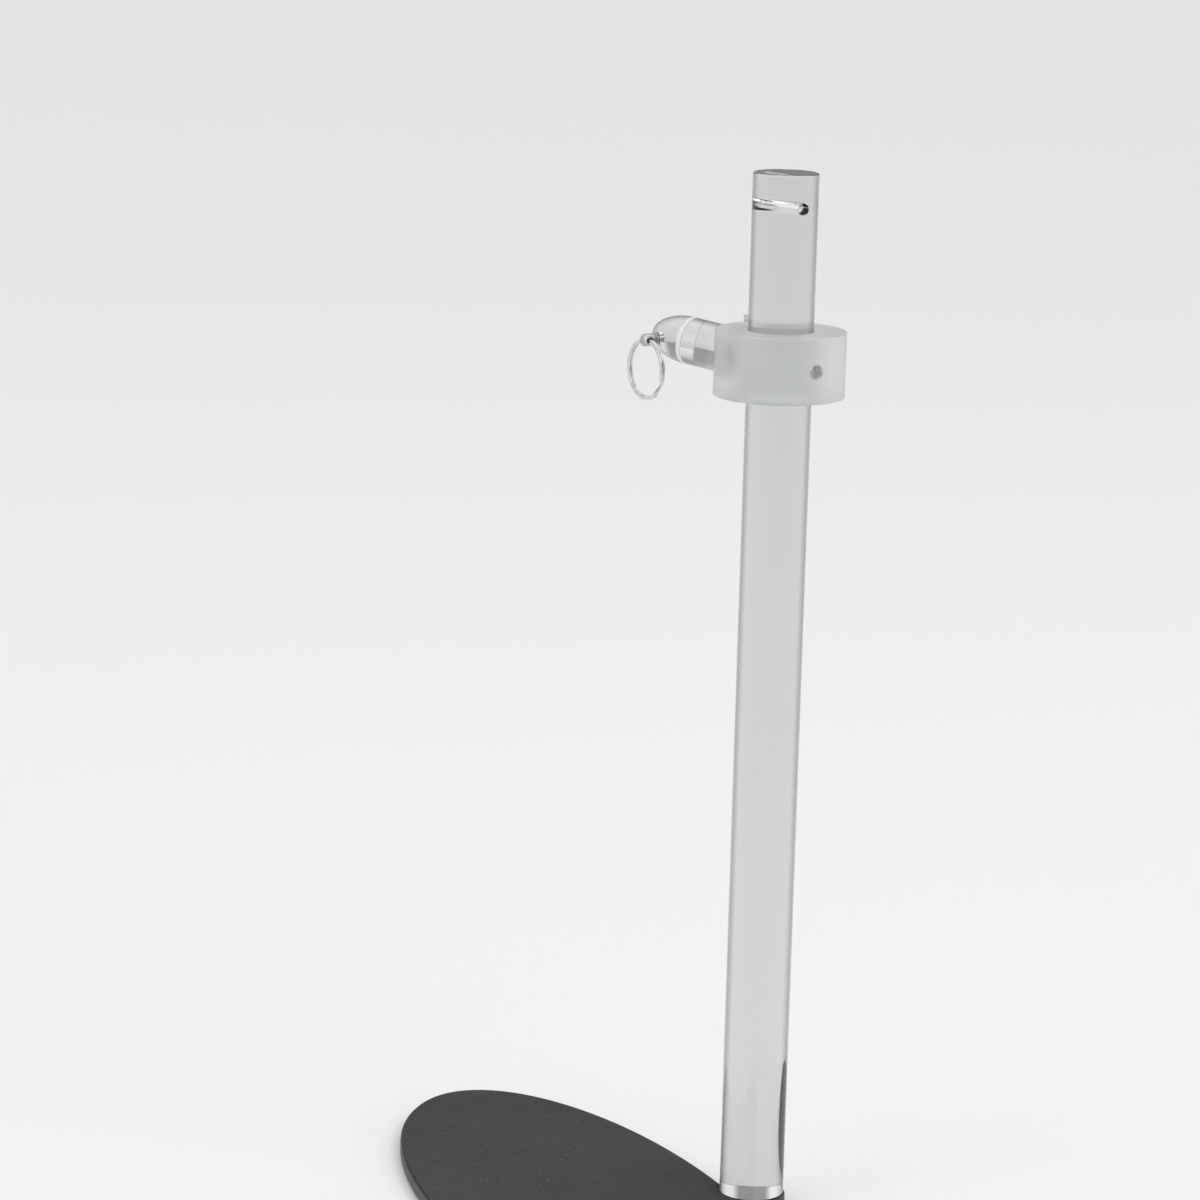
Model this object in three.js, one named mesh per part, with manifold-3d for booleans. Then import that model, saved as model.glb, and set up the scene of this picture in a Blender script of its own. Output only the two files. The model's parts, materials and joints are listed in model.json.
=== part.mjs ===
// Display stand for a saxophone, in millimetres, +Z up.
//
// A thin oval plate lies on the table, and the horn stands on its rubber mat. A clear acrylic post
// rises from a small round lug halfway along one long side of the plate. A frosted collar slides
// on the post and carries a short clear arm with a rounded nose. A small eye stud in the side of
// the nose holds a steel split ring that is hooked to the horn's strap ring, so the horn can't fall.
//
// The origin is on the underside, at the middle of the oval. +Y runs along the oval's long axis,
// and +X runs from the middle of the oval to the post.

import * as THREE from 'three';
import { mergeVertices } from 'three/addons/utils/BufferGeometryUtils.js';
import Module from 'manifold-3d';

const wasm = await Module();
wasm.setup();

// ---------- driving dimensions ----------

const FIT_GAP = 0.3; // between two pieces that touch on the real stand

const BASE = {
  halfLength: 150,
  halfWidth: 59,
  lugMargin: 0.7, // how far the lug stands out round the post
  sheetThickness: 1,
  sheetInset: 2,
  plateThickness: 4,
  matThickness: 1,
  matInset: 1.2,
};

const POST = {
  radius: 12.5,
  length: 400,
  x: 67.5,
  bondThickness: 0.5,
  bondInset: 0.3,
  topChamfer: 0.5,
  crossHoleRadius: 2.3,
  crossHoleBelowTop: 12.5,
};

const COLLAR = {
  radius: 25,
  height: 25,
  aboveFoot: 328, // from the post's foot to the collar's middle
  edgeChamfer: 0.4,
};

const CLAMP_AZIMUTH = -80; // degrees from +X: the clamp screw and the post's cross hole
const CLAMP_SCREW = { radius: 2.5, length: 11, socketRadius: 1.3, socketDepth: 3 };
const SCREW_TIP_CHAMFER = 0.4;
const SCREW_MOUTH_CHAMFER = 0.3;
const SOCKET_SIDES = 6;

const ARM = {
  azimuth: 125, // degrees from +X, counted anticlockwise from above
  rise: 6.2, // degrees above level
  radius: 9.1,
  start: 14, // distances along the arm's axis, from the post's axis
  end: 39.4,
};
const NOSE_JOINT_THICKNESS = 1.4;
const NOSE_LENGTH = 15.5;

const ARM_SCREW = {
  radius: 1.5,
  fromPostAxis: 15,
  proud: 4.2,
  socketRadius: 0.75,
  socketDepth: 1.6,
};

const STUD = {
  azimuth: 192, // degrees from +X, and level
  fromNoseStart: 8.1, // where its axis crosses over the arm's axis
  drop: 1, // and how far below it
  seat: 6.4, // from there to the flange's seat in the side of the nose
  shankRadius: 1.9,
  shankLength: 4.5,
  flangeRadius: 2.9,
  flangeThickness: 0.8,
  barrelRadius: 2.4,
  barrelLength: 5,
  tipLength: 0.8,
  eyeFromFlange: 4.3,
  eyeRadius: 1.5,
};
const DRILL_POINT = 1.1; // the cone at the end of the stud's hole

const RING = { outerRadius: 12, radialWidth: 1.6, thickness: 1.7 };

// How many facets go round the large, middling, thin and smallest pieces.
const FINE = 96;
const MEDIUM = 64;
const COARSE = 32;
const SMALL = 24;
const NOSE_STEPS = 14; // facets from the nose's rim to its tip
const STUD_STEPS = 5; // and round the end of the stud

const CUT_MARGIN = 5; // how far a cutter runs past the surface it opens
const MERGE_TOLERANCE = 1e-5;

// ---------- places worked out from the dimensions ----------

const Z_AXIS = new THREE.Vector3(0, 0, 1);
const plateBottom = BASE.sheetThickness;
const plateTop = plateBottom + BASE.plateThickness;
const lugRadius = POST.radius + BASE.lugMargin;
const postFoot = plateTop + POST.bondThickness;
const postTop = postFoot + POST.length;
const collarMiddle = postFoot + COLLAR.aboveFoot;
const collarTop = collarMiddle + COLLAR.height / 2;
const noseStart = ARM.end + NOSE_JOINT_THICKNESS + 2 * FIT_GAP;
const collarCentre = new THREE.Vector3(POST.x, 0, collarMiddle);
const armDirection = directionOf(ARM.azimuth, ARM.rise);
const armScrewAxis = pointAlong(collarCentre, directionOf(ARM.azimuth, 0), ARM_SCREW.fromPostAxis);
const studDirection = directionOf(STUD.azimuth, 0);
const studCrossing = pointAlong(collarCentre, armDirection, noseStart + STUD.fromNoseStart);
studCrossing.z -= STUD.drop;
const studSeat = pointAlong(studCrossing, studDirection, STUD.seat);
const studFlange = pointAlong(studSeat, studDirection, FIT_GAP);
const eyeCentre = pointAlong(studFlange, studDirection, STUD.eyeFromFlange);
const eyeDirection = directionOf(STUD.azimuth + 90, 0);

function directionOf(azimuth, elevation) {
  const a = THREE.MathUtils.degToRad(azimuth);
  const e = THREE.MathUtils.degToRad(elevation);
  return new THREE.Vector3(Math.cos(a) * Math.cos(e), Math.sin(a) * Math.cos(e), Math.sin(e));
}

function pointAlong(origin, direction, distance) {
  return origin.clone().addScaledVector(direction, distance);
}

// ---------- shapes ----------

// A rod along +Z, from z = 0 to its length.
function rod(radius, length, segments) {
  const geometry = new THREE.CylinderGeometry(radius, radius, length, segments);
  return geometry.rotateX(Math.PI / 2).translate(0, 0, length / 2);
}

// A turned piece: its profile is a list of [radius, z] that goes up from axis to axis, or round
// a ring's section and back to where it began.
function turned(profile, segments) {
  const points = profile.map(([radius, z]) => new THREE.Vector2(radius, z));
  return new THREE.LatheGeometry(points, segments).rotateX(Math.PI / 2);
}

// A disc or a rod along +Z with a small chamfer round its end faces, or none where it is 0.
function chamferedRod(radius, length, chamferBelow, chamferAbove, segments) {
  const profile = [[0, 0]];
  if (chamferBelow > 0) {
    profile.push([radius - chamferBelow, 0]);
  }
  profile.push([radius, chamferBelow], [radius, length - chamferAbove]);
  if (chamferAbove > 0) {
    profile.push([radius - chamferAbove, length]);
  }
  profile.push([0, length]);
  return turned(profile, segments);
}

// The profile of a rounded end: a quarter of an ellipse from the rim at z = bottom to the axis.
function dome(radius, bottom, height, steps) {
  const profile = [];
  for (let step = 0; step < steps; step += 1) {
    const angle = (step / steps) * (Math.PI / 2);
    profile.push([radius * Math.cos(angle), bottom + height * Math.sin(angle)]);
  }
  profile.push([0, bottom + height]);
  return profile;
}

// An oval sheet with its long axis along Y, lying on z = bottom.
function oval(inset, bottom, thickness) {
  const shape = new THREE.Shape();
  shape.absellipse(0, 0, BASE.halfWidth - inset, BASE.halfLength - inset, 0, 2 * Math.PI);
  const options = { depth: thickness, bevelEnabled: false, curveSegments: FINE };
  return new THREE.ExtrudeGeometry(shape, options).translate(0, 0, bottom);
}

// A round disc about the post's axis, lying on z = bottom.
function discAtPost(radius, bottom, thickness) {
  return rod(radius, thickness, MEDIUM).translate(POST.x, 0, bottom);
}

// Turns a piece made along +Z towards a direction, and moves its z = 0 end to the origin given.
function aimed(geometry, origin, direction) {
  const turn = new THREE.Quaternion().setFromUnitVectors(Z_AXIS, direction);
  return geometry.applyQuaternion(turn).translate(origin.x, origin.y, origin.z);
}

// ---------- joining and cutting ----------

function solidOf(geometry) {
  const plain = geometry.clone();
  plain.deleteAttribute('normal');
  plain.deleteAttribute('uv');
  const merged = mergeVertices(plain, MERGE_TOLERANCE);
  const vertProperties = new Float32Array(merged.attributes.position.array);
  const triVerts = new Uint32Array(merged.index.array);
  return new wasm.Manifold(new wasm.Mesh({ numProp: 3, vertProperties, triVerts }));
}

function geometryOf(solid) {
  const { vertProperties, triVerts } = solid.getMesh();
  const geometry = new THREE.BufferGeometry();
  geometry.setAttribute('position', new THREE.BufferAttribute(vertProperties, 3));
  geometry.setIndex(new THREE.BufferAttribute(triVerts, 1));
  geometry.computeVertexNormals();
  return geometry;
}

function joined(first, second) {
  return geometryOf(solidOf(first).add(solidOf(second)));
}

function cut(geometry, ...cutters) {
  const body = cutters.reduce((rest, cutter) => rest.subtract(solidOf(cutter)), solidOf(geometry));
  return geometryOf(body);
}

// ---------- materials ----------

const materials = {
  plate: new THREE.MeshStandardMaterial({ color: 0x3b3a38, roughness: 0.6, metalness: 0.2 }),
  mat: new THREE.MeshStandardMaterial({ color: 0x4a4a47, roughness: 0.95, metalness: 0 }),
  sheet: new THREE.MeshStandardMaterial({ color: 0x242424, roughness: 1, metalness: 0 }),
  clear: new THREE.MeshStandardMaterial({ color: 0xdfe3e2, roughness: 0.05, metalness: 0 }),
  frosted: new THREE.MeshStandardMaterial({ color: 0xc4cacc, roughness: 0.5, metalness: 0 }),
  white: new THREE.MeshStandardMaterial({ color: 0xeceeec, roughness: 0.6, metalness: 0 }),
  nickel: new THREE.MeshStandardMaterial({ color: 0xb9b9b6, roughness: 0.25, metalness: 1 }),
};

// ---------- the base ----------

// The steel plate: the oval joined to the round lug that carries the post.
function basePlate() {
  const plate = oval(0, plateBottom, BASE.plateThickness);
  return joined(plate, discAtPost(lugRadius, plateBottom, BASE.plateThickness));
}

// The rubber mat on top, which is notched to leave room for the post's foot.
function baseMat() {
  const mat = oval(BASE.matInset, plateTop, BASE.matThickness);
  const notchDepth = BASE.matThickness + 2 * CUT_MARGIN;
  return cut(mat, discAtPost(lugRadius, plateTop - CUT_MARGIN, notchDepth));
}

// The felt sheet underneath follows the plate's outline a little way in.
function baseSheet() {
  const sheet = oval(BASE.sheetInset, 0, BASE.sheetThickness);
  return joined(sheet, discAtPost(lugRadius - BASE.sheetInset, 0, BASE.sheetThickness));
}

function footBond() {
  return discAtPost(POST.radius - POST.bondInset, plateTop, POST.bondThickness);
}

// ---------- the post ----------

// A solid clear rod with a cross hole near its polished top.
function post() {
  const body = chamferedRod(POST.radius, POST.length, 0, POST.topChamfer, MEDIUM);
  const holeLength = 2 * (POST.radius + CUT_MARGIN);
  const direction = directionOf(CLAMP_AZIMUTH, 0);
  const holeHeight = POST.length - POST.crossHoleBelowTop;
  const start = pointAlong(new THREE.Vector3(0, 0, holeHeight), direction, -holeLength / 2);
  const hole = aimed(rod(POST.crossHoleRadius, holeLength, SMALL), start, direction);
  return cut(body, hole).translate(POST.x, 0, postFoot);
}

// ---------- the collar and its screws ----------

// The collar is bored for the post, for the arm, and for a screw against each of them.
function collar() {
  const chamfer = COLLAR.edgeChamfer;
  const body = chamferedRod(COLLAR.radius, COLLAR.height, chamfer, chamfer, FINE);
  const bottom = collarTop - COLLAR.height;
  const reach = COLLAR.radius + CUT_MARGIN;
  const boreRadius = POST.radius + FIT_GAP;
  const armBore = rod(ARM.radius + FIT_GAP, reach, MEDIUM);
  const clampBore = rod(CLAMP_SCREW.radius + FIT_GAP, reach, SMALL);
  const armScrewBore = rod(ARM_SCREW.radius + FIT_GAP, COLLAR.height / 2 + CUT_MARGIN, SMALL);
  return cut(
    body.translate(POST.x, 0, bottom),
    discAtPost(boreRadius, bottom - CUT_MARGIN, COLLAR.height + 2 * CUT_MARGIN),
    aimed(armBore, collarCentre, armDirection),
    aimed(clampBore, collarCentre, directionOf(CLAMP_AZIMUTH, 0)),
    armScrewBore.translate(armScrewAxis.x, armScrewAxis.y, collarMiddle),
  );
}

// A headless screw along +Z, with a socket sunk in its far end.
function headlessScrew({ radius, socketRadius, socketDepth }, length) {
  const socket = turned(
    [
      [0, length - socketDepth],
      [socketRadius, length - socketDepth],
      [socketRadius, length + CUT_MARGIN],
      [0, length + CUT_MARGIN],
    ],
    SOCKET_SIDES,
  );
  const body = chamferedRod(radius, length, SCREW_TIP_CHAMFER, SCREW_MOUTH_CHAMFER, SMALL);
  return cut(body, socket);
}

// The clamp screw presses on the post and holds the collar at its height.
function clampScrew() {
  const direction = directionOf(CLAMP_AZIMUTH, 0);
  const tip = pointAlong(collarCentre, direction, POST.radius + FIT_GAP);
  return aimed(headlessScrew(CLAMP_SCREW, CLAMP_SCREW.length), tip, direction);
}

// The arm screw stands on the collar and presses on the arm's shank from above.
function armScrew() {
  const rise = THREE.MathUtils.degToRad(ARM.rise);
  const farSide = ARM_SCREW.fromPostAxis + ARM_SCREW.radius;
  const shankTop = collarMiddle + farSide * Math.tan(rise) + ARM.radius / Math.cos(rise);
  const tip = shankTop + FIT_GAP;
  const length = collarTop + ARM_SCREW.proud - tip;
  return headlessScrew(ARM_SCREW, length).translate(armScrewAxis.x, armScrewAxis.y, tip);
}

// ---------- the arm and its nose ----------

function arm() {
  const shank = rod(ARM.radius, ARM.end - ARM.start, MEDIUM);
  return aimed(shank, pointAlong(collarCentre, armDirection, ARM.start), armDirection);
}

// The bonded joint between the arm and its nose.
function noseJoint() {
  const disc = rod(ARM.radius, NOSE_JOINT_THICKNESS, MEDIUM);
  return aimed(disc, pointAlong(collarCentre, armDirection, ARM.end + FIT_GAP), armDirection);
}

// A bullet-shaped nose, with a level blind hole and a shallow flat seat for the stud in its side.
function nose() {
  const profile = [[0, 0], ...dome(ARM.radius, 0, NOSE_LENGTH, NOSE_STEPS)];
  const start = pointAlong(collarCentre, armDirection, noseStart);
  const body = aimed(turned(profile, MEDIUM), start, armDirection);
  const holeRadius = STUD.shankRadius + FIT_GAP;
  const seatRadius = STUD.flangeRadius + FIT_GAP;
  const hole = [
    [0, -STUD.shankLength - DRILL_POINT],
    [holeRadius, -STUD.shankLength],
    [holeRadius, 0],
    [seatRadius, 0],
    [seatRadius, CUT_MARGIN],
    [0, CUT_MARGIN],
  ];
  return cut(body, aimed(turned(hole, COARSE), studSeat, studDirection));
}

// The stud is turned in one piece: a shank, a flange, and a barrel with a rounded end and an eye.
function eyeStud() {
  const flangeEnd = STUD.flangeThickness;
  const barrelEnd = flangeEnd + STUD.barrelLength;
  const profile = [
    [0, -STUD.shankLength],
    [STUD.shankRadius, -STUD.shankLength],
    [STUD.shankRadius, 0],
    [STUD.flangeRadius, 0],
    [STUD.flangeRadius, flangeEnd],
    [STUD.barrelRadius, flangeEnd],
    ...dome(STUD.barrelRadius, barrelEnd, STUD.tipLength, STUD_STEPS),
  ];
  const body = aimed(turned(profile, COARSE), studFlange, studDirection);
  const eyeLength = 2 * (STUD.barrelRadius + CUT_MARGIN);
  const eyeStart = pointAlong(eyeCentre, eyeDirection, -eyeLength / 2);
  return cut(body, aimed(rod(STUD.eyeRadius, eyeLength, SMALL), eyeStart, eyeDirection));
}

// The split ring hangs in the stud's eye, with its plane square to the stud.
function splitRing() {
  const inner = RING.outerRadius - RING.radialWidth;
  const half = RING.thickness / 2;
  const ring = turned(
    [
      [inner, -half],
      [RING.outerRadius, -half],
      [RING.outerRadius, half],
      [inner, half],
      [inner, -half],
    ],
    FINE,
  );
  const centre = eyeCentre.clone();
  centre.z -= RING.outerRadius - RING.radialWidth / 2;
  return aimed(ring, centre, studDirection);
}

// ---------- the assembly ----------

function piece(name, geometry, material) {
  const mesh = new THREE.Mesh(geometry, material);
  mesh.name = name;
  return mesh;
}

function assembly(...pieces) {
  const group = new THREE.Group();
  group.add(...pieces);
  return group;
}

const base = assembly(
  piece('base_sheet', baseSheet(), materials.sheet),
  piece('base_plate', basePlate(), materials.plate),
  piece('base_mat', baseMat(), materials.mat),
  piece('foot_bond', footBond(), materials.sheet),
  piece('post', post(), materials.clear),
);

const carriage = assembly(
  piece('collar', collar(), materials.frosted),
  piece('clamp_screw', clampScrew(), materials.clear),
  piece('arm_screw', armScrew(), materials.clear),
  piece('arm', arm(), materials.clear),
  piece('nose_joint', noseJoint(), materials.white),
  piece('nose', nose(), materials.clear),
  piece('eye_stud', eyeStud(), materials.nickel),
  piece('split_ring', splitRing(), materials.nickel),
);

const group = assembly(base, carriage);

export default group;
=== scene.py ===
"""Looks of the saxophone stand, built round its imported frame. Metres, +Z up, the same frame as the CAD."""

import json
import math

import bmesh
import bpy
from mathutils import Matrix, Vector


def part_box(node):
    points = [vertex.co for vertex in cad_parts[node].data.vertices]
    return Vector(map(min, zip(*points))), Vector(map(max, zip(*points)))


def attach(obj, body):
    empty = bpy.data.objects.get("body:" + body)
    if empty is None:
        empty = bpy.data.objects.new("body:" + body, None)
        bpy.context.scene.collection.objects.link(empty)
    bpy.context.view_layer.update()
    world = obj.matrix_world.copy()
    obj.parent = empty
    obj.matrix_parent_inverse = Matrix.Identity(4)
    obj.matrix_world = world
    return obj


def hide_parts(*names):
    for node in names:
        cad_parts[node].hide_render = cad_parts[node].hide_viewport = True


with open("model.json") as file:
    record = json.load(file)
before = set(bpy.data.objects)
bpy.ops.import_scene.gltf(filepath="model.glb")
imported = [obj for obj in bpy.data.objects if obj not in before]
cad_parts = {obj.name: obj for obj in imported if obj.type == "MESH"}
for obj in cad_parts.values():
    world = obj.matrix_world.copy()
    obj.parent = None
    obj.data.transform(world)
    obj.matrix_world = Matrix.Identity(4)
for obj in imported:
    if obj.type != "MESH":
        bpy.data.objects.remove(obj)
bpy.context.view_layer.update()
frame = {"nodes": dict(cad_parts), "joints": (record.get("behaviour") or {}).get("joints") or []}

MM = 0.001
UP = Vector((0, 0, 1))

# ---------------------------------------------------------------- places, read from the frame

JOINTS = {joint["name"]: joint for joint in frame["joints"]}


def joint_axis(name):
    return Vector(JOINTS[name]["axis"]).normalized()


def joint_point(name):
    return Vector(JOINTS[name]["pos_m"])


def middle(node):
    low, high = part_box(node)
    return (low + high) / 2


def span(node, origin, direction):
    """How far a CAD node reaches along a line: its nearest and farthest distance from the origin, and
    its largest distance from the line."""
    distances, radii = [], []
    for vertex in frame["nodes"][node].data.vertices:
        offset = vertex.co - origin
        along = offset.dot(direction)
        distances.append(along)
        radii.append((offset - direction * along).length)
    return min(distances), max(distances), max(radii)


post_low, post_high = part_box("post")
post_axis = Vector(((post_low.x + post_high.x) / 2, (post_low.y + post_high.y) / 2, 0))
post_radius = (post_high.x - post_low.x) / 2
collar_low, collar_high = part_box("collar")
collar_centre = middle("collar")
collar_radius = (collar_high.x - collar_low.x) / 2
arm_axis = joint_axis("arm_reach")
clamp_axis = joint_axis("clamp_screw_travel")
stud_axis = joint_axis("eye_turn")
stud_flange = joint_point("eye_turn")
eye_axis = joint_axis("ring_swing")
eye_centre = joint_point("ring_swing")
lug_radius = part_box("base_plate")[1].x - post_axis.x

# ---------------------------------------------------------------- sizes that the frame doesn't state

FIT_GAP = 0.3 * MM
CUT_PAST = 5 * MM  # how far a cutter runs past the surface it opens
BOND_FILL = 0.28 * MM  # the cement fills the gap that the CAD leaves on each side of the joint
AIR_FILM = 0.06 * MM  # under the post, so that its foot mirrors
CROSS_HOLE_RADIUS = 2.3 * MM
CROSS_HOLE_BELOW_TOP = 12.5 * MM
SCREW_THREAD_DEPTH = 0.26 * MM
SCREW_END_TAPER = 0.3 * MM
SOCKET_SIDES = 6
SHANK_RADIUS = 1.9 * MM
SHANK_GAP = 0.15 * MM
SHANK_PITCH = 0.7 * MM
SHANK_THREAD_DEPTH = 0.3 * MM
FLANGE_THICKNESS = 0.8 * MM
BARREL_RADIUS = 2.4 * MM
EYE_RADIUS = 1.5 * MM
WIRE_WIDTH = 1.6 * MM  # of the split ring, measured outwards from its middle

ON_AXIS = 1e-7  # a smaller radius than this is a point on the axis
MERGE_DISTANCE = 1e-6

# ---------------------------------------------------------------- meshes


def add_object(name, bm, sharp_deg=38):
    bmesh.ops.recalc_face_normals(bm, faces=bm.faces)
    mesh = bpy.data.meshes.new(name)
    bm.to_mesh(mesh)
    bm.free()
    mesh.polygons.foreach_set("use_smooth", [True] * len(mesh.polygons))
    mesh.set_sharp_from_angle(angle=math.radians(sharp_deg))
    piece = bpy.data.objects.new(name, mesh)
    bpy.context.scene.collection.objects.link(piece)
    return piece


def corner_arc(before, corner, after, radius, steps):
    """The points of a small fillet in place of a corner, with a point a little way off at each end
    so that the flat next to it shades flat."""
    to_before, to_after = before - corner, after - corner
    length_before, length_after = to_before.length, to_after.length
    to_before.normalize()
    to_after.normalize()
    half_angle = math.acos(max(-1, min(1, to_before.dot(to_after)))) / 2
    reach = radius / math.tan(half_angle)
    reach = min(reach, 0.45 * length_before, 0.45 * length_after)
    radius = reach * math.tan(half_angle)
    centre = corner + (to_before + to_after).normalized() * (radius / math.sin(half_angle))
    start = corner + to_before * reach - centre
    end = corner + to_after * reach - centre
    sweep = start.angle_signed(end)
    points = []
    if length_before > 3 * reach:
        points.append(corner + to_before * (reach * 1.5))
    for step in range(steps + 1):
        turn = -sweep * step / steps
        cos_turn, sin_turn = math.cos(turn), math.sin(turn)
        points.append(centre + Vector((start.x * cos_turn - start.y * sin_turn,
                                       start.x * sin_turn + start.y * cos_turn)))
    if length_after > 3 * reach:
        points.append(corner + to_after * (reach * 1.5))
    return points


def filleted(profile, radius, steps=4):
    """A (radius, z) profile with every corner rounded, apart from its two ends on the axis. A corner
    may carry its own fillet radius as a third number."""
    points = [Vector(p[:2]) for p in profile]
    radii = [p[2] if len(p) > 2 else radius for p in profile]
    count = len(points)
    result = []
    for index, corner in enumerate(points):
        if index in (0, count - 1) or radii[index] <= 0:
            result.append(corner)
            continue
        result += corner_arc(points[index - 1], corner, points[index + 1], radii[index], steps)
    return result


def lathe_bmesh(profile, segments):
    """Turns a profile of (radius, z), which runs from axis to axis, about +Z."""
    bm = bmesh.new()
    rings = []
    for radius, z in profile:
        if radius < ON_AXIS:
            rings.append([bm.verts.new((0, 0, z))])
            continue
        ring = []
        for step in range(segments):
            angle = 2 * math.pi * step / segments
            ring.append(bm.verts.new((radius * math.cos(angle), radius * math.sin(angle), z)))
        rings.append(ring)
    for lower, upper in zip(rings, rings[1:]):
        join_rings(bm, lower, upper, segments)
    return bm


def join_rings(bm, lower, upper, segments):
    """Joins two rings of points with faces. Either may be a single point instead, but not both."""
    for step in range(segments):
        after = (step + 1) % segments
        if len(lower) == 1:
            bm.faces.new((lower[0], upper[step], upper[after]))
        elif len(upper) == 1:
            bm.faces.new((lower[step], lower[after], upper[0]))
        else:
            bm.faces.new((lower[step], lower[after], upper[after], upper[step]))


def aim(bm, origin, direction):
    """Turns a mesh made along +Z towards a direction, and moves its z = 0 to the origin given."""
    turn = UP.rotation_difference(direction).to_matrix().to_4x4()
    bmesh.ops.transform(bm, matrix=Matrix.Translation(origin) @ turn, verts=bm.verts)
    return bm


def turned(name, profile, origin, direction, segments, sharp_deg=38):
    return add_object(name, aim(lathe_bmesh(profile, segments), origin, direction), sharp_deg)


def cut(piece, *cutters, sharp_deg=38):
    """Cuts the cutters out of the piece, and takes them away."""
    for cutter in cutters:
        modifier = piece.modifiers.new("cut", "BOOLEAN")
        modifier.operation = "DIFFERENCE"
        modifier.solver = "EXACT"
        modifier.object = cutter
    graph = bpy.context.evaluated_depsgraph_get()
    result = bpy.data.meshes.new_from_object(piece.evaluated_get(graph))
    piece.modifiers.clear()
    piece.data = result
    bm = bmesh.new()
    bm.from_mesh(result)
    bmesh.ops.remove_doubles(bm, verts=bm.verts, dist=MERGE_DISTANCE)
    bmesh.ops.dissolve_degenerate(bm, edges=bm.edges, dist=MERGE_DISTANCE)
    bm.to_mesh(result)
    bm.free()
    result.name = piece.name
    result.polygons.foreach_set("use_smooth", [True] * len(result.polygons))
    result.set_sharp_from_angle(angle=math.radians(sharp_deg))
    for cutter in cutters:
        bpy.data.objects.remove(cutter)
    return piece


def bore(radius, start, end, origin, direction, segments, cone=0.0):
    """A cutter for a round hole from start to end along a line. cone gives its near end a drill point
    of that length."""
    profile = [(0, start - cone), (radius, start), (radius, end + CUT_PAST), (0, end + CUT_PAST)]
    return turned("cutter", profile, origin, direction, segments)


# ---------------------------------------------------------------- node materials


class Look:
    """A Principled material and its node tree, with short helpers."""

    def __init__(self, name):
        self.material = bpy.data.materials.new(name)
        self.material.use_nodes = True
        self.tree = self.material.node_tree
        self.shader = self.tree.nodes["Principled BSDF"]
        self.where = self.add("ShaderNodeTexCoord").outputs["Object"]

    def add(self, kind, **settings):
        node = self.tree.nodes.new(kind)
        for key, value in settings.items():
            setattr(node, key, value)
        return node

    def link(self, source, target):
        self.tree.links.new(source, target)

    def stretched(self, scale):
        mapping = self.add("ShaderNodeMapping")
        mapping.inputs["Scale"].default_value = scale
        self.link(self.where, mapping.inputs["Vector"])
        return mapping.outputs["Vector"]

    def noise(self, scale, detail=3.0, rough=0.5, stretch=(1, 1, 1)):
        node = self.add("ShaderNodeTexNoise")
        node.inputs["Scale"].default_value = scale
        node.inputs["Detail"].default_value = detail
        node.inputs["Roughness"].default_value = rough
        self.link(self.stretched(stretch), node.inputs["Vector"])
        return node.outputs["Fac"]

    def cells(self, scale):
        node = self.add("ShaderNodeTexVoronoi")
        node.inputs["Scale"].default_value = scale
        self.link(self.where, node.inputs["Vector"])
        return node.outputs["Distance"]

    def remap(self, source, low, high, to_low, to_high):
        node = self.add("ShaderNodeMapRange")
        node.inputs["From Min"].default_value = low
        node.inputs["From Max"].default_value = high
        node.inputs["To Min"].default_value = to_low
        node.inputs["To Max"].default_value = to_high
        self.link(source, node.inputs["Value"])
        return node.outputs["Result"]

    def mix(self, factor, first, second):
        node = self.add("ShaderNodeMix", data_type="RGBA")
        self.link(factor, node.inputs["Factor"])
        for socket, value in ((node.inputs[6], first), (node.inputs[7], second)):
            if isinstance(value, tuple):
                socket.default_value = (*value, 1)
            else:
                self.link(value, socket)
        return node.outputs[2]

    def blend(self, factor, first, second):
        """Goes from one value to another, as mix does with colours."""
        node = self.add("ShaderNodeMix", data_type="FLOAT")
        for socket, source in zip((node.inputs[0], node.inputs[2], node.inputs[3]), (factor, first, second)):
            self.link(source, socket)
        return node.outputs[0]

    def edge(self, start, full):
        """0 where the surface faces the eye and 1 at its outline: the mask for painted shade at a glass
        outline, which stands in for dark surroundings seen through it.
        """
        node = self.add("ShaderNodeLayerWeight")
        node.inputs["Blend"].default_value = 0.5
        return self.remap(node.outputs["Facing"], start, full, 0, 1)

    def outside(self, radius, blend=0.2 * MM):
        """0 nearer the post's axis than this radius and 1 beyond it, with a short blend between."""
        flat = self.add("ShaderNodeVectorMath", operation="MULTIPLY_ADD")
        flat.inputs[1].default_value = (1, 1, 0)
        flat.inputs[2].default_value = (-post_axis.x, -post_axis.y, 0)
        self.link(self.where, flat.inputs[0])
        distance = self.add("ShaderNodeVectorMath", operation="LENGTH")
        self.link(flat.outputs["Vector"], distance.inputs[0])
        return self.remap(distance.outputs["Value"], radius - blend, radius, 0, 1)

    def maths(self, operation, first, second):
        node = self.add("ShaderNodeMath", operation=operation)
        for socket, value in ((node.inputs[0], first), (node.inputs[1], second)):
            if isinstance(value, (int, float)):
                socket.default_value = value
            else:
                self.link(value, socket)
        return node.outputs[0]

    def bump(self, height, distance, strength=1.0):
        node = self.add("ShaderNodeBump")
        node.inputs["Distance"].default_value = distance
        node.inputs["Strength"].default_value = strength
        self.link(height, node.inputs["Height"])
        self.link(node.outputs["Normal"], self.shader.inputs["Normal"])

    def colour(self, source):
        self.link(source, self.shader.inputs["Base Color"])

    def rough(self, source):
        self.link(source, self.shader.inputs["Roughness"])

    def fixed(self, **values):
        for key, value in values.items():
            self.shader.inputs[key.replace("_", " ")].default_value = value


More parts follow.
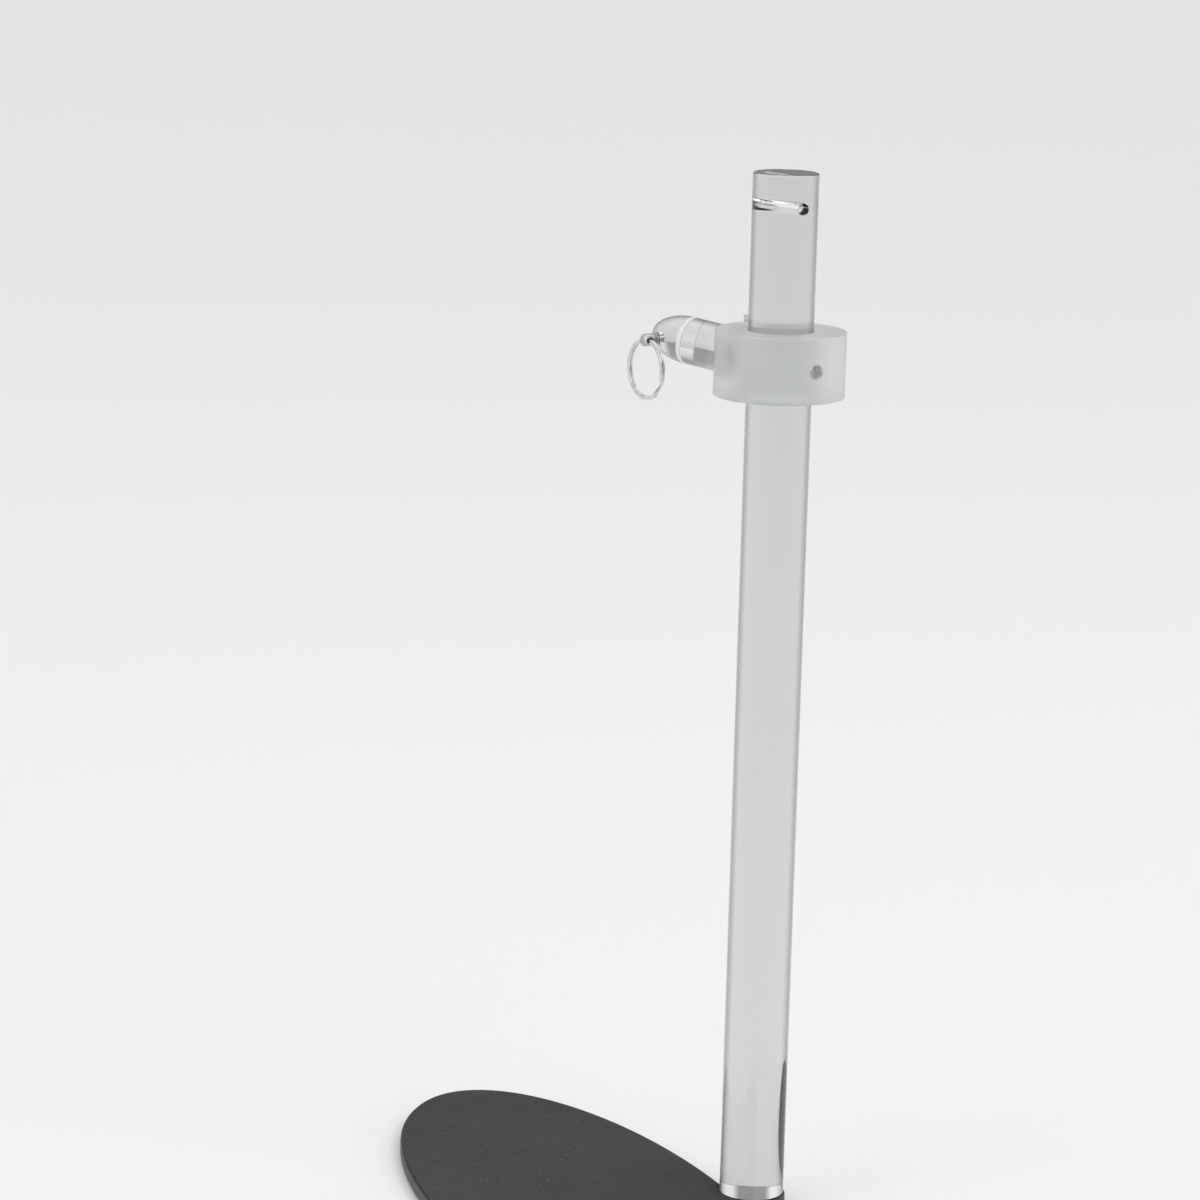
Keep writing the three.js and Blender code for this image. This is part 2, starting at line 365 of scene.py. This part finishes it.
def clear_acrylic():
    """Polished cast acrylic: a light clear grey with painted shade darkening its outline, in place of dark
    surroundings seen through the glass, and faint handling haze.
    That painted shade leaves out the post's top and the walls of its cross hole."""
    look = Look("clear_acrylic")
    look.fixed(Transmission_Weight=1.0, IOR=1.49)
    tint = look.noise(9, 2, stretch=(1, 1, 0.2))
    body = look.mix(look.remap(tint, 0.35, 0.65, 0, 1), (0.695, 0.705, 0.697), (0.75, 0.76, 0.747))
    # Painted shade: the outline turns dark grey where the glass faces away from the eye, in place of dark
    # surroundings seen through it.
    painted_rim_shade = look.maths("MULTIPLY", look.edge(0.40, 0.66), look.outside(post_radius - 0.15 * MM))
    look.colour(look.mix(painted_rim_shade, body, (0.20, 0.20, 0.185)))
    haze = look.noise(60, 4, stretch=(1, 1, 0.08))
    look.rough(look.remap(haze, 0.4, 0.75, 0.012, 0.06))
    return look.material


def frosted_acrylic():
    """Acrylic with sawn, frosted faces and bores, and an outer wall polished to a milky satin."""
    look = Look("frosted_acrylic")
    look.fixed(Transmission_Weight=0.72, IOR=1.49)
    wall = look.outside(collar_radius - 0.12 * MM)
    cloud = look.noise(26, 3, stretch=(1, 1, 0.6))
    satin = look.mix(look.remap(cloud, 0.3, 0.7, 0, 1), (0.85, 0.875, 0.885), (0.92, 0.935, 0.94))
    look.colour(look.mix(wall, (0.95, 0.96, 0.96), satin))
    patch = look.noise(34, 3, stretch=(1, 1, 0.25))
    face = look.remap(patch, 0.3, 0.7, 0.5, 0.4)
    polished = look.remap(patch, 0.3, 0.7, 0.38, 0.28)
    look.rough(look.blend(wall, face, polished))
    marks = look.noise(40, 2, stretch=(0.4, 0.4, 70))
    grain = look.noise(2600, 2)
    look.bump(look.maths("ADD", marks, look.maths("MULTIPLY", grain, 0.35)), 0.00003, 0.5)
    return look.material


def clear_screw():
    """Moulded clear screws: a little hazier than the rod."""
    look = Look("clear_screw")
    look.fixed(Transmission_Weight=0.92, IOR=1.49)
    cloud = look.noise(300, 2)
    look.colour(look.mix(look.remap(cloud, 0.3, 0.7, 0, 1), (0.9, 0.91, 0.91), (0.97, 0.975, 0.975)))
    look.rough(look.remap(look.noise(900, 3), 0.3, 0.7, 0.06, 0.2))
    look.bump(look.noise(1500, 2), 0.00002, 0.4)
    return look.material


def white_joint():
    """The milky cemented joint between the arm and its nose."""
    look = Look("white_joint")
    look.fixed(Transmission_Weight=0.12, IOR=1.49)
    cloud = look.noise(240, 4)
    look.colour(look.mix(look.remap(cloud, 0.3, 0.7, 0, 1), (0.90, 0.915, 0.915), (0.98, 0.985, 0.98)))
    look.rough(look.remap(cloud, 0.3, 0.7, 0.45, 0.3))
    look.bump(look.noise(1300, 3), 0.00003, 0.5)
    return look.material


def metal(name, dark, light, rough_low, rough_high, scratch):
    look = Look(name)
    look.fixed(Metallic=1.0)
    tone = look.noise(320, 3)
    look.colour(look.mix(look.remap(tone, 0.3, 0.7, 0, 1), dark, light))
    look.rough(look.remap(look.noise(700, 4), 0.3, 0.7, rough_low, rough_high))
    look.bump(look.noise(scratch, 3), 0.00001, 0.5)
    return look.material


def painted_plate():
    """Charcoal powder coat with a fine orange peel."""
    look = Look("painted_plate")
    tone = look.noise(45, 4)
    look.colour(look.mix(look.remap(tone, 0.3, 0.7, 0, 1), (0.030, 0.0295, 0.028), (0.042, 0.041, 0.038)))
    peel = look.noise(1500, 2)
    look.rough(look.remap(peel, 0.3, 0.7, 0.62, 0.42))
    look.bump(peel, 0.00006, 0.5)
    return look.material


def rubber_mat():
    """Charcoal rubber with pale and dark specks and a grained, slightly handled surface."""
    look = Look("rubber_mat")
    look.fixed(Specular_IOR_Level=0.3)
    tone = look.noise(16, 5, 0.6)
    ground = look.mix(look.remap(tone, 0.32, 0.68, 0, 1), (0.034, 0.0328, 0.0298), (0.049, 0.0475, 0.0430))
    fleck = look.remap(look.noise(950, 2, 0.6), 0.58, 0.72, 0, 1)
    flecked = look.mix(fleck, ground, (0.085, 0.082, 0.074))
    pit = look.remap(look.noise(620, 2, 0.6), 0.36, 0.26, 0, 1)
    look.colour(look.mix(pit, flecked, (0.026, 0.0255, 0.024)))
    look.rough(look.remap(look.noise(30, 4), 0.3, 0.7, 0.72, 0.86))
    grain = look.maths("ADD", look.noise(1500, 3, 0.6), look.maths("MULTIPLY", look.cells(520), 0.5))
    look.bump(grain, 0.00012, 0.55)
    return look.material


def felt():
    look = Look("underside_felt")
    fuzz = look.noise(2400, 4, 0.7)
    look.colour(look.mix(look.remap(fuzz, 0.3, 0.7, 0, 1), (0.012, 0.012, 0.012), (0.035, 0.035, 0.034)))
    look.fixed(Sheen_Weight=0.4, Sheen_Roughness=0.6)
    look.rough(look.remap(fuzz, 0.3, 0.7, 0.9, 1.0))
    look.bump(look.maths("ADD", fuzz, look.noise(420, 4)), 0.0002, 0.8)
    return look.material


def black_bond():
    look = Look("black_bond")
    tone = look.noise(260, 3)
    look.colour(look.mix(look.remap(tone, 0.3, 0.7, 0, 1), (0.010, 0.011, 0.011), (0.024, 0.026, 0.026)))
    look.rough(look.remap(tone, 0.3, 0.7, 0.3, 0.5))
    look.bump(look.noise(700, 2), 0.00005, 0.5)
    return look.material


def studio_floor():
    look = Look("studio_floor")
    look.fixed(Roughness=0.7, Specular_IOR_Level=0.2)
    look.fixed(Base_Color=(0.86, 0.86, 0.86, 1))
    return look.material


LOOKS = {
    "clear_acrylic": clear_acrylic(),
    "frosted_acrylic": frosted_acrylic(),
    "clear_screw": clear_screw(),
    "white_joint": white_joint(),
    "dull_nickel": metal("dull_nickel", (0.40, 0.40, 0.385), (0.60, 0.60, 0.58), 0.2, 0.36, 2200),
    "bright_steel": metal("bright_steel", (0.62, 0.62, 0.61), (0.78, 0.78, 0.77), 0.08, 0.2, 3000),
    "painted_plate": painted_plate(),
    "rubber_mat": rubber_mat(),
    "underside_felt": felt(),
    "black_bond": black_bond(),
}


def finish_piece(piece, body, node, slot):
    """Gives a piece its material, body and slot, in place of its CAD node."""
    piece.data.materials.clear()
    piece.data.materials.append(LOOKS[slot])
    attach(piece, body)
    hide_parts(node)


# ---------------------------------------------------------------- the base


def with_lug(half_width, half_length, lug, count=320, blend=2.5 * MM):
    """The oval joined to the lug's disc, with a small fillet where they meet."""
    def level(x, y):
        oval = (math.hypot(x / half_width, y / half_length) - 1) * half_width
        disc = math.hypot(x - post_axis.x, y) - lug
        gap = max(blend - abs(oval - disc), 0) / blend
        return min(oval, disc) - gap * gap * blend / 4
    return traced(level, half_length + lug, count)


def traced(level, reach, count):
    """The outline where level is 0, found along rays from the middle of the oval. The rays crowd
    together towards the lug."""
    crowding = 0.62
    halvings = 40
    points = []
    for step in range(count):
        even = 2 * math.pi * step / count
        angle = even - crowding * math.sin(even)
        cos_angle, sin_angle = math.cos(angle), math.sin(angle)
        inside, outside = 0.0, reach
        for _ in range(halvings):
            radius = (inside + outside) / 2
            if level(radius * cos_angle, radius * sin_angle) < 0:
                inside = radius
            else:
                outside = radius
        points.append(Vector((inside * cos_angle, inside * sin_angle)))
    return points


def inset(points, distance):
    """Moves an anticlockwise outline inwards."""
    count = len(points)
    result = []
    for index, point in enumerate(points):
        along = points[(index + 1) % count] - points[index - 1]
        inwards = Vector((-along.y, along.x)).normalized()
        result.append(point + inwards * distance)
    return result


def slab(name, outline, bottom, top, bottom_radius, top_radius, steps=4):
    """A flat sheet with this outline and rounded edges."""
    levels = [(3 * bottom_radius, bottom)]
    for step in range(steps + 1):
        angle = math.pi / 2 * step / steps
        levels.append((bottom_radius * (1 - math.sin(angle)), bottom + bottom_radius * (1 - math.cos(angle))))
    for step in range(steps + 1):
        angle = math.pi / 2 * step / steps
        levels.append((top_radius * (1 - math.cos(angle)), top - top_radius * (1 - math.sin(angle))))
    levels.append((3 * top_radius, top))
    bm = bmesh.new()
    rings = [[bm.verts.new((p.x, p.y, z)) for p in inset(outline, offset)] for offset, z in levels]
    for lower, upper in zip(rings, rings[1:]):
        join_rings(bm, lower, upper, len(lower))
    for ring in (rings[0], rings[-1]):
        fill_flat(bm, ring)
    return add_object(name, bm)


def fill_flat(bm, ring):
    """Closes a flat outline with a few rings that shrink towards the middle of the oval."""
    z = ring[0].co.z
    outer = ring
    for share in (0.93, 0.7, 0.35):
        inner = [bm.verts.new((vertex.co.x * share, vertex.co.y * share, z)) for vertex in ring]
        join_rings(bm, outer, inner, len(ring))
        outer = inner
    join_rings(bm, outer, [bm.verts.new((0, 0, z))], len(ring))


def build_base():
    low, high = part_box("base_plate")
    half_width, half_length = -low.x, high.y
    plate_outline = with_lug(half_width, half_length, lug_radius)
    plate = slab("plate_body", plate_outline, low.z, high.z, 0.4 * MM, 0.5 * MM)
    finish_piece(plate, "base", "base_plate", "painted_plate")

    low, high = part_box("base_sheet")
    sheet_lug = high.x - post_axis.x
    sheet = slab("felt_sheet", with_lug(-low.x, high.y, sheet_lug), low.z, high.z, 0.25 * MM, 0.1 * MM)
    finish_piece(sheet, "base", "base_sheet", "underside_felt")

    low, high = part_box("base_mat")
    mat = slab("mat_body", mat_outline(-low.x, high.y), low.z, high.z, 0.1 * MM, 0.35 * MM)
    finish_piece(mat, "base", "base_mat", "rubber_mat")

    low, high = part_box("foot_bond")
    radius = (high.x - low.x) / 2
    thickness = high.z - low.z - AIR_FILM
    profile = filleted([(0, 0), (radius, 0), (radius - 0.1 * MM, thickness), (0, thickness)], 0.1 * MM)
    bond = turned("bond_disc", profile, post_axis + UP * low.z, UP, 128)
    finish_piece(bond, "base", "foot_bond", "black_bond")


def mat_outline(half_width, half_length, round_off=1.2 * MM):
    """The mat's oval, notched round the lug, with its two points rounded off."""
    def level(x, y):
        oval = (math.hypot(x / half_width, y / half_length) - 1) * half_width
        notch = lug_radius - math.hypot(x - post_axis.x, y)
        gap = max(round_off - abs(oval - notch), 0) / round_off
        return max(oval, notch) + gap * gap * round_off / 4
    return traced(level, half_length + 0.02, 320)


# ---------------------------------------------------------------- the post


def build_post():
    """The rod. Extra rings of points above and below its cross hole keep the shading round it clean."""
    length = post_high.z - post_low.z
    hole_height = length - CROSS_HOLE_BELOW_TOP
    guard = 4 * MM
    profile = filleted([(0, 0), (post_radius, 0, 0.15 * MM), (post_radius, hole_height - guard, 0),
                        (post_radius, hole_height + guard, 0), (post_radius, length, 0.5 * MM),
                        (0, length)], 0.2 * MM, steps=5)
    foot = post_axis + UP * post_low.z
    rod = turned("post_rod", profile, foot, UP, 160)
    cut(rod, cross_drill(foot + UP * hole_height))
    finish_piece(rod, "base", "post", "clear_acrylic")


def cross_drill(centre):
    """The cutter for the cross hole, which opens a little at both mouths."""
    inner, outer = CROSS_HOLE_RADIUS, CROSS_HOLE_RADIUS + 0.4 * MM
    reach = 20 * MM
    neck = post_radius - 0.35 * MM
    profile = [(0, -reach), (outer, -reach), (outer, -post_radius), (inner, -neck),
               (inner, neck), (outer, post_radius), (outer, reach), (0, reach)]
    return turned("cutter", profile, centre, clamp_axis, 48)


# ---------------------------------------------------------------- the collar


def build_collar():
    height = collar_high.z - collar_low.z
    foot = Vector((post_axis.x, post_axis.y, collar_low.z))
    outline = [(0, 0), (collar_radius, 0), (collar_radius, height), (0, height)]
    body = turned("collar_body", filleted(outline, 0.45 * MM, steps=5), foot, UP, 192)
    arm_radius = span("arm", collar_centre, arm_axis)[2]
    clamp_radius = span("clamp_screw", collar_centre, clamp_axis)[2]
    peg = middle("arm_screw")
    peg_radius = span("arm_screw", peg, UP)[2]
    arm_bore = bore(arm_radius + FIT_GAP, 0, collar_radius, collar_centre, arm_axis, 96)
    clamp_bore = bore(clamp_radius + FIT_GAP, 0, collar_radius, collar_centre, clamp_axis, 48)
    peg_foot = Vector((peg.x, peg.y, collar_centre.z))
    peg_bore = bore(peg_radius + FIT_GAP, 0, height / 2, peg_foot, UP, 48)
    cut(body, post_bore(foot, height), arm_bore, clamp_bore, peg_bore)
    finish_piece(body, "collar", "collar", "frosted_acrylic")


def post_bore(foot, height):
    """The cutter for the collar's bore, which opens a little at both mouths."""
    mouth = 0.25 * MM
    inner = post_radius + FIT_GAP
    outer = inner + mouth
    profile = [(0, -CUT_PAST), (outer, -CUT_PAST), (outer, 0), (inner, mouth), (inner, height - mouth),
               (outer, height), (outer, height + CUT_PAST), (0, height + CUT_PAST)]
    return turned("cutter", profile, foot, UP, 160)


# ---------------------------------------------------------------- screws


def threaded_profile(radius, pitch, length, across, around):
    """The grid of a thread's surface: its radius at every height and angle round it. The thread fades
    out towards both ends, which taper in a little."""
    tip_fade, mouth_fade = 0.6 * MM, 0.5 * MM
    flank_slope = 2.6
    rows = []
    for row in range(across + 1):
        z = length * row / across
        fade = max(0, min(1, z / tip_fade, (length - z) / mouth_fade))
        taper = SCREW_END_TAPER * (1 - min(1, 3 * fade))
        ring = []
        for column in range(around):
            phase = (z / pitch - column / around) % 1.0
            flank = min(1, abs(phase - 0.5) * flank_slope)
            ring.append(radius - SCREW_THREAD_DEPTH * flank * fade - taper)
        rows.append((z, ring))
    return rows


def grub_screw(name, origin, direction, length, radius, pitch, socket_radius, socket_depth):
    """A headless screw with a real thread and a hexagon socket in its far end."""
    around = 40
    across = max(24, round(length / pitch * 10))
    bm = bmesh.new()
    rings = []
    for z, radii in threaded_profile(radius, pitch, length, across, around):
        ring = []
        for column, reach in enumerate(radii):
            turn = 2 * math.pi * column / around
            ring.append(bm.verts.new((reach * math.cos(turn), reach * math.sin(turn), z)))
        rings.append(ring)
    for lower, upper in zip(rings, rings[1:]):
        join_rings(bm, lower, upper, around)
    bm.faces.new(rings[0][::-1])
    bm.faces.new(rings[-1])
    screw = add_object(name, aim(bm, origin, direction), 50)
    floor = length - socket_depth
    socket = bore(socket_radius, floor, length, origin, direction, SOCKET_SIDES, cone=0.5 * MM)
    return cut(screw, socket, sharp_deg=50)


def build_screws():
    start, end, radius = span("clamp_screw", collar_centre, clamp_axis)
    tip = collar_centre + clamp_axis * start
    clamp = grub_screw("clamp_grub", tip, clamp_axis, end - start, radius,
                       pitch=0.8 * MM, socket_radius=1.3 * MM, socket_depth=3 * MM)
    finish_piece(clamp, "clamp_screw", "clamp_screw", "clear_screw")
    low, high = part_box("arm_screw")
    tip = Vector(((low.x + high.x) / 2, (low.y + high.y) / 2, low.z))
    peg = grub_screw("arm_grub", tip, UP, high.z - low.z, (high.x - low.x) / 2,
                     pitch=0.5 * MM, socket_radius=0.75 * MM, socket_depth=1.6 * MM)
    finish_piece(peg, "arm_screw", "arm_screw", "clear_screw")


# ---------------------------------------------------------------- the arm


def build_arm():
    start, end, radius = span("arm", collar_centre, arm_axis)
    profile = filleted([(0, 0), (radius, 0), (radius, end - start), (0, end - start)], 0.2 * MM, steps=3)
    rod = turned("arm_rod", profile, collar_centre + arm_axis * start, arm_axis, 128)
    finish_piece(rod, "arm", "arm", "clear_acrylic")

    start, end, radius = span("nose_joint", collar_centre, arm_axis)
    start -= BOND_FILL
    end += BOND_FILL
    profile = filleted([(0, 0), (radius, 0), (radius, end - start), (0, end - start)], 0.2 * MM, steps=4)
    disc = turned("joint_disc", profile, collar_centre + arm_axis * start, arm_axis, 128)
    finish_piece(disc, "arm", "nose_joint", "white_joint")


def build_nose():
    start, end, _ = span("nose", collar_centre, arm_axis)
    radius = span("nose_joint", collar_centre, arm_axis)[2]
    length = end - start
    edge = 0.2 * MM
    profile = [(0, 0), (radius - 3 * edge, 0), (radius - edge, 0)]
    profile += [(radius - 0.3 * edge, 0.3 * edge), (radius, edge)]
    steps = 40
    for step in range(1, steps):
        angle = math.pi / 2 * step / steps
        profile.append((radius * math.cos(angle), edge + (length - edge) * math.sin(angle)))
    profile.append((0, length))
    dome = turned("nose_dome", profile, collar_centre + arm_axis * start, arm_axis, 128)
    cut(dome, stud_hole())
    finish_piece(dome, "arm", "nose", "clear_acrylic")


def stud_hole():
    """The cutter for the stud's hole: a drilled blind hole with a flat seat for the flange."""
    start, _, flange = span("eye_stud", stud_flange, stud_axis)
    seat = -0.05 * MM
    radius, seat_radius = SHANK_RADIUS + SHANK_GAP, flange + FIT_GAP
    profile = [(0, start - 1.2 * MM), (radius, start - 0.1 * MM), (radius, seat), (seat_radius, seat),
               (seat_radius, CUT_PAST), (0, CUT_PAST)]
    return turned("cutter", profile, stud_flange, stud_axis, 64)


# ---------------------------------------------------------------- the stud and the split ring


def threaded_shank(start):
    """The shank's side from its end up to the flange: grooves, and a plain neck under the flange."""
    root = SHANK_RADIUS - SHANK_THREAD_DEPTH
    soft = 0.04 * MM
    points = [(0, start), (root, start, soft)]
    grooves = int((-start - 0.3 * MM) / SHANK_PITCH)
    for groove in range(grooves):
        z = start + groove * SHANK_PITCH
        for radius, share in ((SHANK_RADIUS, 0.35), (SHANK_RADIUS, 0.55), (root, 0.9)):
            points.append((radius, z + share * SHANK_PITCH, soft))
    return points + [(root, 0, soft)]


def build_stud():
    start, end, flange = span("eye_stud", stud_flange, stud_axis)
    disc = FLANGE_THICKNESS
    waist = BARREL_RADIUS - 0.2 * MM
    profile = threaded_shank(start)
    profile += [(flange, 0, 0.15 * MM), (flange, disc, 0.25 * MM), (waist, disc + 0.15 * MM, 0.1 * MM),
                (BARREL_RADIUS, disc + 0.9 * MM, 0.4 * MM), (BARREL_RADIUS, end - 0.8 * MM, 0.5 * MM),
                (BARREL_RADIUS - 0.9 * MM, end, 0.4 * MM), (0, end)]
    side = filleted(profile, 0.2 * MM, steps=5)
    stud = turned("stud_turned", side, stud_flange, stud_axis, 96, sharp_deg=30)
    cut(stud, eye_drill(), sharp_deg=30)
    finish_piece(stud, "eye_stud", "eye_stud", "dull_nickel")


def eye_drill():
    """The cutter for the stud's eye, with a rounded mouth on each side."""
    mouth = 0.4 * MM
    widest = EYE_RADIUS + mouth
    reach = 12 * MM
    steps = 5
    half = []
    for step in range(steps + 1):
        angle = math.pi / 2 * step / steps
        depth = mouth * (1 - math.cos(angle)) - 0.1 * MM
        half.append((EYE_RADIUS + mouth * (1 - math.sin(angle)), depth - BARREL_RADIUS))
    profile = [(0, -reach), (widest, -reach)] + half
    profile += [(radius, -z) for radius, z in reversed(half)] + [(widest, reach), (0, reach)]
    return turned("cutter", profile, eye_centre, eye_axis, 64)


def rounded_section(half_width, half_height, corner, steps=3):
    """The corners of a rounded rectangle, anticlockwise."""
    points = []
    for quarter in range(4):
        x = (half_width - corner) * (1, -1, -1, 1)[quarter]
        y = (half_height - corner) * (1, 1, -1, -1)[quarter]
        for step in range(steps + 1):
            angle = math.pi / 2 * (quarter + step / steps)
            points.append((x + corner * math.cos(angle), y + corner * math.sin(angle)))
    return points


def coil_path(count, step_arc, coil_offset):
    """Angles and sideways offsets of a split ring's wire: two turns side by side that change places
    once, in the arc between the wire's two ends."""
    total = 4 * math.pi - step_arc - math.radians(3)
    path = []
    for index in range(count + 1):
        angle = total * index / count
        share = (angle - (2 * math.pi - step_arc)) / step_arc
        share = min(1, max(0, share))
        smooth = share * share * (3 - 2 * share)
        path.append((angle, coil_offset * (2 * smooth - 1)))
    return path


def build_ring():
    """The split ring: two turns of half-flattened wire, hanging in the stud's eye."""
    low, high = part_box("split_ring")
    centre = (low + high) / 2
    back, front, outer = span("split_ring", centre, stud_axis)
    thickness = front - back
    wire = (thickness - 0.08 * MM) / 2
    mean = outer - WIRE_WIDTH / 2
    section = rounded_section(WIRE_WIDTH / 2, wire / 2, 0.34 * MM)
    path = coil_path(260, math.radians(32), thickness / 2 - wire / 2)
    start_angle = math.radians(-128)
    side = stud_axis.cross(UP).normalized()
    bm = bmesh.new()
    rings = []
    for index, (angle, shift) in enumerate(path):
        turn = angle + start_angle
        outwards = side * math.cos(turn) + UP * math.sin(turn)
        shrink = end_shrink(index, len(path))
        ring = []
        for across, along in section:
            out_here = outwards * (mean + across * shrink)
            ring.append(bm.verts.new(centre + out_here + stud_axis * (shift + along * shrink)))
        rings.append(ring)
    for lower, upper in zip(rings, rings[1:]):
        join_rings(bm, lower, upper, len(section))
    bm.faces.new(rings[0][::-1])
    bm.faces.new(rings[-1])
    ring = add_object("ring_coil", bm, 60)
    finish_piece(ring, "split_ring", "split_ring", "bright_steel")


def end_shrink(index, count):
    """Rounds off the two cut ends of the wire."""
    nearest = min(index, count - 1 - index)
    return (0.8, 0.93)[nearest] if nearest < 2 else 1.0


# ---------------------------------------------------------------- floor, light and camera


def build_stage():
    bpy.ops.mesh.primitive_plane_add(size=60, location=(0, 0, 0))
    floor = bpy.context.object
    floor.name = "studio_floor"
    floor.data.materials.append(studio_floor())


def area_light(name, place, target, size, watts, colour=(1, 1, 1)):
    data = bpy.data.lights.new(name, "AREA")
    data.shape = "RECTANGLE"
    data.size, data.size_y = size
    data.energy = watts
    data.color = colour
    light = bpy.data.objects.new(name, data)
    light.location = place
    light.rotation_euler = (Vector(target) - Vector(place)).to_track_quat("-Z", "Y").to_euler()
    bpy.context.scene.collection.objects.link(light)


def build_lights(camera_place):
    target = Vector((post_axis.x, 0, 0.2))
    towards = (camera_place - target)
    towards.z = 0
    towards.normalize()
    left = towards.cross(UP).normalized() * -1
    area_light("key", target + towards * 0.9 + left * 1.5 + UP * 1.7, target, (1.3, 1.3), 9)
    area_light("fill", target + towards * 1.2 - left * 1.6 + UP * 1.1, target, (1.0, 1.6), 3)
    area_light("top", target - towards * 0.7 + UP * 2.2, target, (1.8, 1.2), 3)
    bpy.context.scene.world = studio_world()
    bpy.context.scene.view_settings.view_transform = "Standard"


def studio_world():
    """A bright room with tall soft boxes and greyer gaps all round, so that metal and clear plastic
    have something to reflect from every side."""
    world = bpy.data.worlds.new("studio")
    world.use_nodes = True
    tree = world.node_tree
    background = tree.nodes["Background"]

    def node(kind, operation=None, values=(), sources=()):
        made = tree.nodes.new(kind)
        if operation:
            made.operation = operation
        for index, value in values:
            made.inputs[index].default_value = value
        for index, source in sources:
            tree.links.new(source, made.inputs[index])
        return made.outputs[0]

    place = tree.nodes.new("ShaderNodeTexCoord").outputs["Generated"]
    split = tree.nodes.new("ShaderNodeSeparateXYZ")
    tree.links.new(place, split.inputs[0])
    azimuth = node("ShaderNodeMath", "ARCTAN2", (), ((0, split.outputs["Y"]), (1, split.outputs["X"])))
    turns = node("ShaderNodeMath", "MULTIPLY", ((1, 4.0),), ((0, azimuth),))
    wave = node("ShaderNodeMath", "SINE", (), ((0, turns),))
    boxes = node("ShaderNodeMapRange", None, ((1, -0.35), (2, 0.35), (3, 0.4), (4, 1.15)), ((0, wave),))
    overhead = node("ShaderNodeMapRange", None, ((1, 0.45), (2, 0.8), (3, 0.0), (4, 1.0)),
                    ((0, split.outputs["Z"]),))
    level = tree.nodes.new("ShaderNodeMix")
    tree.links.new(overhead, level.inputs[0])
    tree.links.new(boxes, level.inputs[2])
    level.inputs[3].default_value = 1.0
    tree.links.new(level.outputs[0], background.inputs["Strength"])
    background.inputs["Color"].default_value = (1.0, 1.0, 1.0, 1)
    return world


CAMERA_OFFSET = Vector((-0.6630, -1.5045, 0.5802))  # from the post's foot
CAMERA_LENS = 131.79
CAMERA_ANGLES = (68.5, 11.69, 1.52)  # azimuth, how far it looks down, and roll, in degrees


def build_camera():
    """The camera stands about 1.6 m from the post, a little above its top, and looks slightly down."""
    data = bpy.data.cameras.new("camera")
    data.sensor_width = 36
    data.lens = CAMERA_LENS
    data.clip_start = 0.05
    data.clip_end = 200
    camera = bpy.data.objects.new("camera", data)
    place = post_axis + CAMERA_OFFSET
    azimuth, pitch, roll = (math.radians(angle) for angle in CAMERA_ANGLES)
    level_forward = Vector((math.cos(azimuth), math.sin(azimuth), 0))
    forward = level_forward * math.cos(pitch) - UP * math.sin(pitch)
    level_right = forward.cross(UP).normalized()
    level_up = level_right.cross(forward)
    right = level_right * math.cos(roll) + level_up * math.sin(roll)
    up = right.cross(forward)
    turn = Matrix((right, up, -forward)).transposed().to_4x4()
    camera.matrix_world = Matrix.Translation(place) @ turn
    bpy.context.scene.collection.objects.link(camera)
    bpy.context.scene.camera = camera
    return place


camera_place = build_camera()
build_base()
build_post()
build_collar()
build_screws()
build_arm()
build_nose()
build_stud()
build_ring()
build_stage()
build_lights(camera_place)
